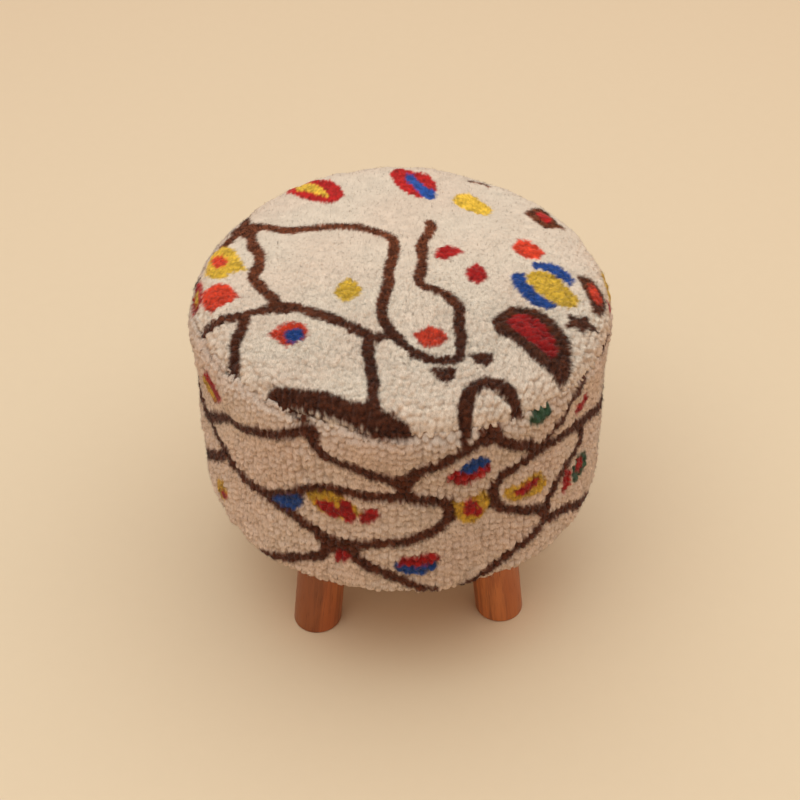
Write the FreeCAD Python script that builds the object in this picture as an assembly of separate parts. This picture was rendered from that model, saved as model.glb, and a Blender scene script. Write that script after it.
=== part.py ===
import FreeCAD, Part
import math
import os

from FreeCAD import Vector

# A round stool covered in knotted wool rug, in millimetres and degrees. The origin lies on
# the floor under the middle of the seat, +Z is up and the front looks along -Y.

# Drum frame: two round boards held apart by posts, with a thin sheet bent round them
board_radius = 175.0
base_board_height = 144.0
base_board_thick = 18.0
top_board_thick = 15.0
post_count = 8
post_length = 131.0
post_width = 40.0
post_depth = 25.0
post_edge_bevel = 1.5
skin_thick = 3.0
skin_bend_gap = 0.3
skin_joint_gap = 1.0

# Soft layers over the frame
foam_thick = 50.0
wadding_thick = 9.0
layer_gap = 0.3

# Rug cover: a crowned top panel sewn at the shoulder to a side band, turned under the base
rug_thick = 16.0
crown_radius = 1810.0
shoulder_radius = 34.5
seam_rise_angle = 28.0
seam_roll_radius = 6.0
base_corner_radius = 13.0
turned_edge_width = 28.0
turned_edge_thick = 6.0
closing_seam_azimuth = 90.0
closing_groove_width = 9.0
closing_groove_depth = 7.0

# Straight chords that draw each round stretch of the soft outlines, which keeps them light
crown_chord_count = 2
upper_shoulder_chord_count = 3
lower_shoulder_chord_count = 2
hidden_upper_chord_count = 2
hidden_lower_chord_count = 1
seam_roll_chord_count = 2
base_corner_chord_count = 3

# Four round peg legs, splayed outwards, with a block inside the drum over each
leg_names = ("rear_right", "rear_left", "front_left", "front_right")
leg_first_azimuth = 45.0
leg_radius = 24.5
leg_splay_angle = 8.1
leg_to_turned_edge_gap = 6.3
leg_foot_bevel = 2.0
block_thick = 22.0
block_radial = 66.0
block_across = 64.0
block_edge_bevel = 2.0

# Screws, driven through a clearance hole and countersunk flush
screw_side_count = 6
screw_gap = 0.1
screw_tip_length = 5.0
screw_tip_radius = 0.6
screw_head_rim = 0.5
leg_screw_length = 85.0
leg_screw_radius = 2.75
leg_screw_head_radius = 5.0
leg_screw_spacing = 24.0
post_screw_length = 60.0
post_screw_radius = 2.0
post_screw_head_radius = 4.0

# Wire staples, driven flush into wood and into the shaved edge of the rug
staple_crown = 10.0
staple_wire = 1.2
staple_gap = 0.1
skin_staple_count = 6
skin_staple_length = 14.0
band_staple_count = 16
band_staple_length = 14.0
band_staple_inset = 8.0
cover_staple_count = 8
cover_staple_length = 12.0
cover_staple_inset = 4.0

# Dust cover: a stretched cloth disc under the base
dust_cover_thick = 0.8
dust_cover_lap = 20.0
dust_cover_leg_gap = 1.5
dust_cover_snip_count = 8

# How far a cutting tool runs past what it cuts, and how closely an edge is looked up
overrun = 5.0
lookup_tolerance = 0.001

# Levels and radii that follow from the sizes above
base_board_top = base_board_height + base_board_thick
top_board_bottom = base_board_top + post_length
frame_top = top_board_bottom + top_board_thick
turned_edge_bottom = base_board_height - turned_edge_thick
skin_inner_radius = board_radius + skin_bend_gap
skin_outer_radius = skin_inner_radius + skin_thick
wadding_inner_radius = skin_outer_radius + layer_gap
cover_radius = wadding_inner_radius + wadding_thick + layer_gap + rug_thick
post_outer_face = math.sqrt(board_radius ** 2 - (post_width / 2) ** 2)
post_centre_radius = post_outer_face - post_depth / 2
post_first_azimuth = 180.0 / post_count
turned_edge_radius = board_radius - turned_edge_width
dust_cover_radius = turned_edge_radius + dust_cover_lap
dust_cover_bottom = turned_edge_bottom - dust_cover_thick

# The legs stand inside the turned-under edge, clear of it down to the dust cover
leg_splay = math.radians(leg_splay_angle)
leg_reach = leg_radius / math.cos(leg_splay)
leg_drift = (base_board_height - dust_cover_bottom) * math.tan(leg_splay)
leg_seat_circle_radius = turned_edge_radius - leg_to_turned_edge_gap - leg_reach - leg_drift

# The cover's outline stands on three circles in the section plane, and every layer under
# it lies inside the same circles by its own depth, so that all layers stay parallel
crown_centre = Vector(0, 0, frame_top + foam_thick + layer_gap + rug_thick - crown_radius)
shoulder_centre_radius = cover_radius - shoulder_radius
shoulder_centre = Vector(
    shoulder_centre_radius,
    0,
    crown_centre.z + math.sqrt((crown_radius - shoulder_radius) ** 2 - shoulder_centre_radius ** 2),
)
corner_centre = Vector(
    cover_radius - base_corner_radius, 0, turned_edge_bottom + base_corner_radius
)
crown_run = shoulder_centre - crown_centre
crown_angle = math.degrees(math.atan2(crown_run.z, crown_run.x))

up = Vector(0, 0, 1)
origin = Vector(0, 0, 0)


def direction(angle):
    """Unit vector in the section plane, from level outwards at 0 to upright at 90."""
    return Vector(math.cos(math.radians(angle)), 0, math.sin(math.radians(angle)))


def arc_points(centre, radius, start_angle, end_angle, chords):
    """Points along an arc in the section plane, with both ends."""
    step = (end_angle - start_angle) / chords
    return [centre + direction(start_angle + step * count) * radius for count in range(chords + 1)]


def crown_points(depth):
    """The crown from the shoulder to the middle, for a layer that lies a depth inside the cover."""
    return arc_points(crown_centre, crown_radius - depth, crown_angle, 90, crown_chord_count)


def turned(points):
    """Solid of revolution about the stool's axis from the corners of a closed section."""
    corners = [
        point for before, point in zip(points[-1:] + points, points)
        if before.distanceToPoint(point) > lookup_tolerance
    ]
    return Part.Face(Part.makePolygon(corners + corners[:1])).revolve(origin, up, 360)


def around(shape, azimuth):
    copy = shape.copy()
    copy.rotate(origin, up, azimuth)
    return copy


def around_point(point, azimuth):
    turn = math.radians(azimuth)
    return Vector(
        point.x * math.cos(turn) - point.y * math.sin(turn),
        point.x * math.sin(turn) + point.y * math.cos(turn),
        point.z,
    )


def spread(shape, count, first_azimuth=0):
    """Copies of a shape at even steps round the stool's axis."""
    return [around(shape, first_azimuth + step * 360 / count) for step in range(count)]


def edges_at_height(shape, height):
    """Edges of a shape that lie flat at one height."""
    return [
        edge
        for edge in shape.Edges
        if abs(edge.BoundBox.ZMin - height) < lookup_tolerance
        and abs(edge.BoundBox.ZMax - height) < lookup_tolerance
    ]


def seam_edge(side):
    """Edge of a rug panel at the shoulder seam, where the wool rolls in to the stitches.

    The side is 1 above the seam and -1 below it. Gives the angle at which the roll leaves
    the shoulder, the roll's points, and the angle at which the sewn face ends inside."""
    gap = layer_gap / 2
    roll = min(seam_roll_radius, rug_thick / 2)
    roll_turn = math.degrees(math.asin((gap + roll) / (shoulder_radius - roll)))
    inner_turn = math.degrees(math.asin(gap / (shoulder_radius - rug_thick)))
    roll_angle = seam_rise_angle + side * roll_turn
    roll_centre = shoulder_centre + direction(roll_angle) * (shoulder_radius - roll)
    sewn_angle = seam_rise_angle - side * 90
    roll_points = arc_points(roll_centre, roll, roll_angle, sewn_angle, seam_roll_chord_count)
    return roll_angle, roll_points, seam_rise_angle + side * inner_turn


def upper_shoulder(depth, low_angle, chords):
    """The shoulder from an angle at the seam up to the crown, a depth inside the cover."""
    return arc_points(shoulder_centre, shoulder_radius - depth, low_angle, crown_angle, chords)


def lower_shoulder(depth, high_angle, chords):
    """The shoulder from the side up to an angle at the seam, a depth inside the cover."""
    return arc_points(shoulder_centre, shoulder_radius - depth, 0, high_angle, chords)


def rug_top_panel():
    """Round rug panel: the crown, the shoulder and the rolled edge at the seam."""
    roll_angle, roll_points, inner_angle = seam_edge(1)
    outside = crown_points(0)[::-1] + upper_shoulder(0, roll_angle, upper_shoulder_chord_count)[::-1]
    inside = upper_shoulder(rug_thick, inner_angle, hidden_upper_chord_count)
    return turned(outside + roll_points + inside + crown_points(rug_thick))


def band_form():
    """Side band: shoulder, side and base corner in one section, with the edge turned under."""
    roll_angle, roll_points, inner_angle = seam_edge(-1)
    corner = arc_points(corner_centre, base_corner_radius, -90, 0, base_corner_chord_count)
    outside = lower_shoulder(0, roll_angle, lower_shoulder_chord_count)
    inside = lower_shoulder(rug_thick, inner_angle, hidden_lower_chord_count)[::-1]
    turned_edge = [
        Vector(cover_radius - rug_thick, 0, base_board_height),
        Vector(turned_edge_radius, 0, base_board_height),
        Vector(turned_edge_radius, 0, turned_edge_bottom),
    ]
    return turned(corner + outside + roll_points + inside + turned_edge)


def closing_groove():
    """Groove in the band's pile where its two ends are sewn together."""
    outside = cover_radius + overrun
    widen = (closing_groove_depth + overrun) / closing_groove_depth
    half_width = closing_groove_width / 2 * widen
    low = turned_edge_bottom - overrun
    corners = [
        Vector(cover_radius - closing_groove_depth, 0, low),
        Vector(outside, half_width, low),
        Vector(outside, -half_width, low),
    ]
    wedge = Part.Face(Part.makePolygon(corners + corners[:1]))
    return around(wedge.extrude(up * (frame_top + foam_thick - low)), closing_seam_azimuth)


def rug_side_band():
    cutters = [closing_groove()] + band_staples(staple_gap, overrun)
    cutters += cover_staples(staple_gap, overrun)
    return band_form().cut(cutters)


def seat_foam():
    """Crowned foam disc with a rounded shoulder, under the rug all over."""
    depth = rug_thick + layer_gap
    foot = [Vector(0, 0, frame_top), Vector(cover_radius - depth, 0, frame_top)]
    shoulder = lower_shoulder(depth, seam_rise_angle, hidden_lower_chord_count)
    shoulder += upper_shoulder(depth, seam_rise_angle, hidden_upper_chord_count)
    return turned(foot + shoulder + crown_points(depth))


def side_wadding():
    """Strip of wadding between the bent sheet and the side band."""
    inside, outside = wadding_inner_radius, wadding_inner_radius + wadding_thick
    low, high = base_board_height, frame_top
    return turned(
        [Vector(inside, 0, low), Vector(outside, 0, low), Vector(outside, 0, high), Vector(inside, 0, high)]
    )


def screw(length, radius, head_radius, gap=0, rise=0):
    """Countersunk screw with flat sides, that points down from its flat top at the origin.

    With a gap and a rise it is the cutter of its hole."""
    rings = [
        (head_radius + gap, rise),
        (head_radius + gap, -screw_head_rim),
        (radius + gap, -screw_head_rim - head_radius + radius),
        (radius + gap, screw_tip_length - length),
        (screw_tip_radius + gap, -length - gap),
    ]
    corners = []
    for ring_radius, height in rings:
        turns = [Vector(ring_radius, 0, height)]
        turns += [around_point(turns[0], side * 360 / screw_side_count) for side in range(1, screw_side_count + 1)]
        corners.append(turns)
    flats = [Part.Face(Part.makePolygon(ring)) for ring in (corners[0], corners[-1])]
    for high, low in zip(corners, corners[1:]):
        for side in range(screw_side_count):
            flat = [high[side], high[side + 1], low[side + 1], low[side], high[side]]
            flats.append(Part.Face(Part.makePolygon(flat)))
    return Part.Solid(Part.Shell(flats))


def leg_screws(azimuth, gap=0, rise=0):
    """The two screws of one leg, side by side in the top of its block."""
    pair = []
    for side in (-1, 1):
        piece = screw(leg_screw_length, leg_screw_radius, leg_screw_head_radius, gap, rise)
        piece.translate(
            Vector(leg_seat_circle_radius, side * leg_screw_spacing / 2, base_board_top + block_thick)
        )
        pair.append(around(piece, azimuth))
    return pair


def post_screws(at_top, gap=0, rise=0):
    """One screw into the end of each post, down through the top board or up through the base."""
    piece = screw(post_screw_length, post_screw_radius, post_screw_head_radius, gap, rise)
    if not at_top:
        piece.rotate(origin, Vector(1, 0, 0), 180)
    height = frame_top if at_top else base_board_height
    piece.translate(Vector(post_centre_radius, 0, height))
    return spread(piece, post_count, post_first_azimuth)


def staple(length, gap=0, rise=0):
    """Wire staple with its crown flush at the origin and its two legs upwards.

    With a gap and a rise it is the cutter of its slot."""
    outer = staple_crown / 2 + gap
    inner = staple_crown / 2 - staple_wire - gap
    crown_top = staple_wire + gap
    outline = [
        Vector(0, -outer, -rise),
        Vector(0, outer, -rise),
        Vector(0, outer, length + gap),
        Vector(0, inner, length + gap),
        Vector(0, inner, crown_top),
        Vector(0, -inner, crown_top),
        Vector(0, -inner, length + gap),
        Vector(0, -outer, length + gap),
    ]
    width = staple_wire + gap * 2
    form = Part.Face(Part.makePolygon(outline + outline[:1])).extrude(Vector(width, 0, 0))
    form.translate(Vector(-width / 2, 0, 0))
    return form


def skin_staples(gap=0, rise=0):
    """Staples through the bent sheet into the edges of both boards."""
    staples = []
    rows = (base_board_height + base_board_thick / 2, frame_top - top_board_thick / 2)
    for height in rows:
        piece = staple(skin_staple_length, gap, rise)
        piece.rotate(origin, Vector(0, 1, 0), -90)
        piece.translate(Vector(skin_outer_radius, 0, height))
        staples += spread(piece, skin_staple_count)
    return staples


def band_staples(gap=0, rise=0):
    """Staples through the turned-under edge of the side band into the base board."""
    piece = staple(band_staple_length, gap, rise)
    piece.translate(Vector(turned_edge_radius + band_staple_inset, 0, turned_edge_bottom))
    return spread(piece, band_staple_count)


def cover_staples(gap=0, rise=0):
    """Staples of the dust cover, with their crowns on the cloth."""
    piece = staple(cover_staple_length, gap, rise)
    piece.translate(
        Vector(dust_cover_radius - cover_staple_inset, 0, dust_cover_bottom - staple_wire)
    )
    return spread(piece, cover_staple_count, 180 / cover_staple_count)


def leg_form():
    """Splayed round peg at azimuth 0, longer than the leg at both ends."""
    axis = direction(90 + leg_splay_angle)
    seat = Vector(leg_seat_circle_radius, 0, base_board_height)
    spare = (leg_radius + overrun) * math.tan(leg_splay) + overrun
    length = base_board_height / math.cos(leg_splay) + spare * 2
    return Part.makeCylinder(leg_radius, length, seat - axis * (length - spare), axis)


def leg(azimuth):
    """Peg leg cut level at the floor and under the base board, with an eased foot edge."""
    width = board_radius * 2
    slab = Part.makeBox(width, width, base_board_height, Vector(-width / 2, -width / 2, 0))
    peg = leg_form().common(slab)
    peg = peg.makeChamfer(min(leg_foot_bevel, leg_radius / 2), edges_at_height(peg, 0))
    return around(peg, azimuth).cut(leg_screws(azimuth, screw_gap, overrun))


def leg_block(azimuth):
    """Wooden block that thickens the base board over a leg."""
    block = Part.makeBox(
        block_radial,
        block_across,
        block_thick,
        Vector(leg_seat_circle_radius - block_radial / 2, -block_across / 2, base_board_top),
    )
    top_edges = edges_at_height(block, base_board_top + block_thick)
    block = block.makeChamfer(min(block_edge_bevel, block_thick / 2), top_edges)
    return around(block, azimuth).cut(leg_screws(azimuth, screw_gap, overrun))


def post(azimuth):
    """Upright batten between the boards, its outer corners in line with their edges."""
    batten = Part.makeBox(
        post_depth,
        post_width,
        post_length,
        Vector(post_outer_face - post_depth, -post_width / 2, base_board_top),
    )
    inner_uprights = [
        edge
        for edge in batten.Edges
        if abs(edge.BoundBox.XMax - post_outer_face + post_depth) < lookup_tolerance
        and edge.BoundBox.ZLength > post_length / 2
    ]
    batten = batten.makeChamfer(min(post_edge_bevel, post_depth / 2), inner_uprights)
    screws = post_screws(True, screw_gap, overrun) + post_screws(False, screw_gap, overrun)
    return around(batten, azimuth).cut(screws)


def base_board():
    board = Part.makeCylinder(board_radius, base_board_thick, up * base_board_height)
    cutters = post_screws(False, screw_gap, overrun)
    for azimuth in leg_azimuths:
        cutters += leg_screws(azimuth, screw_gap, overrun)
    cutters += skin_staples(staple_gap, overrun)
    cutters += band_staples(staple_gap, overrun)
    cutters += cover_staples(staple_gap, overrun)
    return board.cut(cutters)


def top_board():
    board = Part.makeCylinder(board_radius, top_board_thick, up * top_board_bottom)
    return board.cut(post_screws(True, screw_gap, overrun) + skin_staples(staple_gap, overrun))


def drum_skin():
    """Thin sheet bent round both boards, its ends butted over a post at the back."""
    height = frame_top - base_board_height
    outside = Part.makeCylinder(skin_outer_radius, height, up * base_board_height)
    inside = Part.makeCylinder(
        skin_inner_radius, height + overrun * 2, up * (base_board_height - overrun)
    )
    joint = Part.makeBox(
        board_radius,
        skin_joint_gap,
        height + overrun * 2,
        Vector(board_radius - overrun, -skin_joint_gap / 2, base_board_height - overrun),
    )
    rear_post = post_first_azimuth + (post_count // 4) * 360 / post_count
    cutters = [inside, around(joint, rear_post)] + skin_staples(staple_gap, overrun)
    return outside.cut(cutters)


def leg_opening(azimuth):
    """Cutter of the opening round a leg, where the cloth is snipped in straight cuts."""
    reach = (leg_reach + dust_cover_leg_gap) / math.cos(math.pi / dust_cover_snip_count)
    corners = [
        around_point(Vector(reach, 0, 0), snip * 360 / dust_cover_snip_count)
        for snip in range(dust_cover_snip_count + 1)
    ]
    opening = Part.Face(Part.makePolygon(corners)).extrude(up * (dust_cover_thick + overrun * 2))
    opening.translate(Vector(leg_seat_circle_radius + leg_drift, 0, dust_cover_bottom - overrun))
    return around(opening, azimuth)


def dust_cover():
    """Thin cloth disc stretched across the turned-under rug edge, cut out round the legs."""
    disc = Part.makeCylinder(dust_cover_radius, dust_cover_thick, up * dust_cover_bottom)
    cutters = [leg_opening(azimuth) for azimuth in leg_azimuths]
    return disc.cut(cutters + cover_staples(staple_gap, overrun))


leg_azimuths = [leg_first_azimuth + quarter * 360 / len(leg_names) for quarter in range(len(leg_names))]

nodes = {
    "rug_top_panel": rug_top_panel(),
    "rug_side_band": rug_side_band(),
    "seat_foam": seat_foam(),
    "side_wadding": side_wadding(),
    "top_board": top_board(),
    "base_board": base_board(),
    "drum_skin": drum_skin(),
    "dust_cover": dust_cover(),
    "leg_screws": Part.makeCompound([piece for azimuth in leg_azimuths for piece in leg_screws(azimuth)]),
    "post_screws_top": Part.makeCompound(post_screws(True)),
    "post_screws_bottom": Part.makeCompound(post_screws(False)),
    "skin_staples": Part.makeCompound(skin_staples()),
    "band_staples": Part.makeCompound(band_staples()),
    "dust_staples": Part.makeCompound(cover_staples()),
}
for number, (leg_name, azimuth) in enumerate(zip(leg_names, leg_azimuths), 1):
    nodes[f"leg_{leg_name}"] = leg(azimuth)
    nodes[f"leg_block_{number}"] = leg_block(azimuth)
for number in range(1, post_count + 1):
    nodes[f"post_{number}"] = post(post_first_azimuth + (number - 1) * 360 / post_count)

os.makedirs("parts", exist_ok=True)
for name, shape in nodes.items():
    shape.exportStep(f"parts/{name}.step")
    print(name, len(shape.Solids), "solids", round(shape.Volume), "mm3", shape.isValid())
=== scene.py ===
import math

import bpy
import numpy as np
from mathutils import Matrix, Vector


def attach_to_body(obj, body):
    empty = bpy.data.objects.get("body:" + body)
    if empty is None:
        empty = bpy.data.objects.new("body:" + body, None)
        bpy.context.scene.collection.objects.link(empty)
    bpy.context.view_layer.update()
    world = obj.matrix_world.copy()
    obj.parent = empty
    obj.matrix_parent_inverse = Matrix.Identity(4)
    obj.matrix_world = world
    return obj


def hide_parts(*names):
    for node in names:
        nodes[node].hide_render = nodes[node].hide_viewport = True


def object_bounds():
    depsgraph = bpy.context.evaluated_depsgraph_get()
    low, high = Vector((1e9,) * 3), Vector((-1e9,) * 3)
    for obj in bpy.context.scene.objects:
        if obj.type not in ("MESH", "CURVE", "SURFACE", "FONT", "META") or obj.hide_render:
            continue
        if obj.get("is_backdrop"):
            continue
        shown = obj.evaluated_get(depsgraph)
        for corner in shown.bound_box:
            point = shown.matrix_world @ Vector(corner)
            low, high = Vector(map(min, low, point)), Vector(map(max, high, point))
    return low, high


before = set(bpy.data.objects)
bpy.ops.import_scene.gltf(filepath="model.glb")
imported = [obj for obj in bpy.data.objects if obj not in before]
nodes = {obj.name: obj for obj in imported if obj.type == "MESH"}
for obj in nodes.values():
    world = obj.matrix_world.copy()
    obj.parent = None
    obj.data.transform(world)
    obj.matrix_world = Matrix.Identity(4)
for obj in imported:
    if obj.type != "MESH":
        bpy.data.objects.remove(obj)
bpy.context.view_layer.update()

# The view: the photograph looks down on the stool from the front and a little from its left,
# at about 46 degrees over the floor, with a long lens and the stool in the middle.
camera_place = (-0.1058, -1.2876, 1.3521)
camera_tilt = 48.55
camera_turn = -4.64
camera_lens = 76.5

camera = bpy.data.objects.new("camera", bpy.data.cameras.new("camera"))
camera.location = camera_place
camera.rotation_euler = (math.radians(camera_tilt), 0, math.radians(camera_turn))
camera.data.lens = camera_lens
camera.data.sensor_width = 36
bpy.context.scene.collection.objects.link(camera)
bpy.context.scene.camera = camera
bpy.context.scene.view_settings.view_transform = "Standard"


# The room: a seamless pale sand floor without an edge in sight. A wide soft lamp hangs over the
# stool, smaller ones stand at the front left and at the right, and warm light comes back from
# all round.
floor_radius = 14.0
floor_corners = 96
floor_colour = (225, 203, 172)
floor_fleck_colour = (227, 205, 174)
surround_strength = 0.72
surround_colour = (1.0, 0.665, 0.47)
lamps = {  # place, width, power and colour of each
    "overhead_lamp": ((0.0, 0.1, 2.8), 4.5, 68.0, (0.44, 0.81, 1.0)),
    "side_lamp": ((-1.06, -1.06, 2.6), 2.0, 12.0, (0.94, 1.0, 0.92)),
    "right_lamp": ((2.2, 0.0, 2.0), 3.2, 7.5, (1.0, 0.9, 0.7)),
}


def dye(red, green, blue):
    """A colour as it looks on a screen, from 0 to 255, as the light that a shader counts in."""
    share = np.array([red, green, blue]) / 255
    light = np.where(share <= 0.04045, share / 12.92, ((share + 0.055) / 1.055) ** 2.4)
    return tuple(float(part) for part in light) + (1.0,)


class Wire:
    """One socket in a node tree. An expression on wires and numbers adds its Math nodes."""

    def __init__(self, tree, socket=None):
        self.tree, self.socket = tree, socket

    def node(self, kind, settings=None, sockets=None, output=0):
        """A node of a kind: its settings are set first, then the values or wires of its sockets."""
        made = self.tree.nodes.new(kind)
        for name, value in (settings or {}).items():
            setattr(made, name, value)
        for name, value in (sockets or {}).items():
            if isinstance(value, Wire):
                self.tree.links.new(value.socket, made.inputs[name])
            else:
                made.inputs[name].default_value = value
        return Wire(self.tree, made.outputs[output] if made.outputs else None)

    def maths(self, operation, *values):
        """A Math node on numbers and wires, or on this wire alone."""
        settings = {"operation": operation}
        return self.node("ShaderNodeMath", settings, dict(enumerate(values or [self])))

    def __add__(self, other):
        return self.maths("ADD", self, other)

    def __sub__(self, other):
        return self.maths("SUBTRACT", self, other)

    def __rsub__(self, other):
        return self.maths("SUBTRACT", other, self)

    def __mul__(self, other):
        return self.maths("MULTIPLY", self, other)

    def __truediv__(self, other):
        return self.maths("DIVIDE", self, other)

    def __pow__(self, other):
        return self.maths("POWER", self, other)

    __radd__, __rmul__ = __add__, __mul__

    def between(self, low, high):
        """0 below the low value, 1 above the high one, and a smooth rise between them."""
        settings = {"interpolation_type": "SMOOTHSTEP"}
        sockets = {"Value": self, "From Min": low, "From Max": high}
        return self.node("ShaderNodeMapRange", settings, sockets)

    def mix(self, first, second):
        """A colour between two colours, with this wire as the share of the second."""
        return self.node("ShaderNodeMix", {"data_type": "RGBA"}, {0: self, 6: first, 7: second}, 2)

    def stretched(self, along):
        """A place or colour times another, part by part. A pattern on a stretched place runs
        longer along the axes with a small factor."""
        settings = {"operation": "MULTIPLY"}
        return self.node("ShaderNodeVectorMath", settings, {0: self, 1: along})

    def noise(self, scale, detail=3.0, roughness=0.5, bent=0.0):
        """Cloudy noise from 0 to 1 at this place, with this many turns to a metre."""
        sockets = {"Vector": self, "Scale": scale, "Detail": detail, "Roughness": roughness,
                   "Distortion": bent}
        return self.node("ShaderNodeTexNoise", None, sockets)

    def axes(self):
        """The three parts of a place."""
        made = self.node("ShaderNodeSeparateXYZ", None, {"Vector": self}).socket.node
        return [Wire(self.tree, part) for part in made.outputs]


def new_finish(name):
    """A new material, with a wire that holds the place on the piece in metres."""
    material = bpy.data.materials.new(name)
    material.use_nodes = True
    material.node_tree.nodes.clear()
    start = Wire(material.node_tree)
    return material, start.node("ShaderNodeTexCoord", output="Object")


def coat(wire, colour, roughness, height=None, depth=0.001, **constants):
    """The shader of a finish: its colour, its roughness, a height in shares of a depth, and
    constants for its other sockets."""
    sockets = {"Base Color": colour, "Roughness": roughness}
    sockets.update({name.replace("_", " "): value for name, value in constants.items()})
    if height is not None:
        raised = {"Height": height, "Distance": depth, "Strength": 1.0}
        sockets["Normal"] = wire.node("ShaderNodeBump", None, raised)
    shader = wire.node("ShaderNodeBsdfPrincipled", None, sockets)
    wire.node("ShaderNodeOutputMaterial", None, {"Surface": shader})


def new_piece(name, points, faces, material):
    """A mesh object from points and from arrays of faces, each with one count of corners."""
    mesh = bpy.data.meshes.new(name)
    mesh.vertices.add(len(points))
    mesh.vertices.foreach_set("co", np.asarray(points, np.float32).ravel())
    corners = np.concatenate([part.ravel() for part in faces])
    counts = np.concatenate([np.full(len(part), part.shape[1]) for part in faces])
    mesh.loops.add(len(corners))
    mesh.loops.foreach_set("vertex_index", corners.astype(np.int32))
    mesh.polygons.add(len(counts))
    starts = np.concatenate([[0], np.cumsum(counts)[:-1]])
    mesh.polygons.foreach_set("loop_start", starts.astype(np.int32))
    mesh.update(calc_edges=True)
    mesh.shade_smooth()
    mesh.materials.append(material)
    piece = bpy.data.objects.new(name, mesh)
    bpy.context.scene.collection.objects.link(piece)
    return piece


def round_grid(rows, around):
    """Faces of a surface whose rows of points each go once round, joined at their ends."""
    row, step = np.meshgrid(np.arange(rows - 1), np.arange(around), indexing="ij")
    here, there = row * around + step, row * around + (step + 1) % around
    return np.stack([here, there, there + around, here + around], -1).reshape(-1, 4)


def round_points(radius, angle, height):
    """Points at a radius, an angle round the upright axis and a height."""
    radius, angle, height = np.broadcast_arrays(radius, angle, height)
    return np.stack([radius * np.cos(angle), radius * np.sin(angle), height], -1)


floor_finish, place = new_finish("sand_floor")
speckle = place.noise(60.0, 4.0)
coat(place, speckle.mix(dye(*floor_colour), dye(*floor_fleck_colour)), 0.9)
turn = np.linspace(0, 2 * math.pi, floor_corners, endpoint=False)
rings = floor_radius * np.array([0.02, 0.2, 1.0])[:, None]
floor_faces = [round_grid(3, floor_corners)[:, ::-1], np.arange(floor_corners)[None, :]]
floor = new_piece("floor", round_points(rings, turn, 0.0).reshape(-1, 3), floor_faces, floor_finish)
floor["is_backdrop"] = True

world = bpy.data.worlds.new("soft_room")
bpy.context.scene.world = world
world.use_nodes = True
world.node_tree.nodes.clear()
sky = Wire(world.node_tree)
rays = sky.node("ShaderNodeLightPath").socket.node.outputs
camera_ray, glossy_ray, clear_ray = (
    Wire(world.node_tree, rays[f"Is {kind} Ray"]) for kind in ("Camera", "Glossy", "Transmission"))
mirrored = glossy_ray.maths("MAXIMUM", glossy_ray, clear_ray)
seen = camera_ray.maths("MAXIMUM", camera_ray, mirrored)
sky_colour = seen.mix((*surround_colour, 1.0), dye(*floor_colour))
sky_strength = seen * (1.0 - surround_strength) + surround_strength
sky_light = sky.node("ShaderNodeBackground", None, {"Color": sky_colour, "Strength": sky_strength})
sky.node("ShaderNodeOutputWorld", None, {"Surface": sky_light})

for name, (spot, width, power, colour) in lamps.items():
    lamp = bpy.data.objects.new(name, bpy.data.lights.new(name, "AREA"))
    lamp.data.shape, lamp.data.size = "DISK", width
    lamp.data.energy, lamp.data.color = power, colour
    lamp.location = spot
    lamp.rotation_euler = Vector(spot).to_track_quat("Z", "Y").to_euler()
    bpy.context.scene.collection.objects.link(lamp)


# The four legs are turned pegs of an oiled honey-brown hardwood, splayed outwards, sawn level
# with the floor, with the foot's edge rubbed round. Two screws each hold them from above.
leg_azimuths = {
    "leg_front_left": 225.0, "leg_front_right": 315.0,
    "leg_rear_left": 135.0, "leg_rear_right": 45.0,
}
leg_radius = 0.0245
leg_height = 0.144
leg_splay = math.radians(8.1)
leg_seat_circle = 0.114985
leg_foot_round = 0.0022
leg_light_colour = (186, 112, 60)
leg_warm_colour = (160, 86, 42)
leg_dark_colour = (98, 50, 24)
leg_pith_away = 0.03
leg_pith_turn = 2.1
leg_heart_edge = (0.026, 0.0305)
leg_ring_width = 0.0042
leg_ring_wander = 0.012
leg_around = 80


def leg_form(azimuth):
    """Level ellipses stacked from floor to seat, whose middles move inwards with height; each
    is the tilted peg's level cut, drawn in near the floor by a quarter circle."""
    edge = np.linspace(0, math.pi / 2, 6)
    upper = np.linspace(0.02, leg_height, 6)
    height = np.concatenate([leg_foot_round * (1 - np.cos(edge)), upper])
    inset = np.concatenate([leg_foot_round * (1 - np.sin(edge)), np.zeros(6)])
    angle = np.linspace(0, 2 * math.pi, leg_around, endpoint=False)
    middle = leg_seat_circle + (leg_height - height) * math.tan(leg_splay)
    outwards = middle[:, None] + (leg_radius / math.cos(leg_splay) - inset[:, None]) * np.cos(angle)
    sideways = (leg_radius - inset[:, None]) * np.sin(angle)
    turned = math.radians(azimuth)
    x = outwards * math.cos(turned) - sideways * math.sin(turned)
    y = outwards * math.sin(turned) + sideways * math.cos(turned)
    points = np.stack([x, y, np.broadcast_to(height[:, None], x.shape)], -1).reshape(-1, 3)
    last = len(points) - leg_around
    ends = np.stack([np.arange(leg_around)[::-1], np.arange(leg_around) + last])
    return points, [round_grid(len(height), leg_around), ends]


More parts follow.
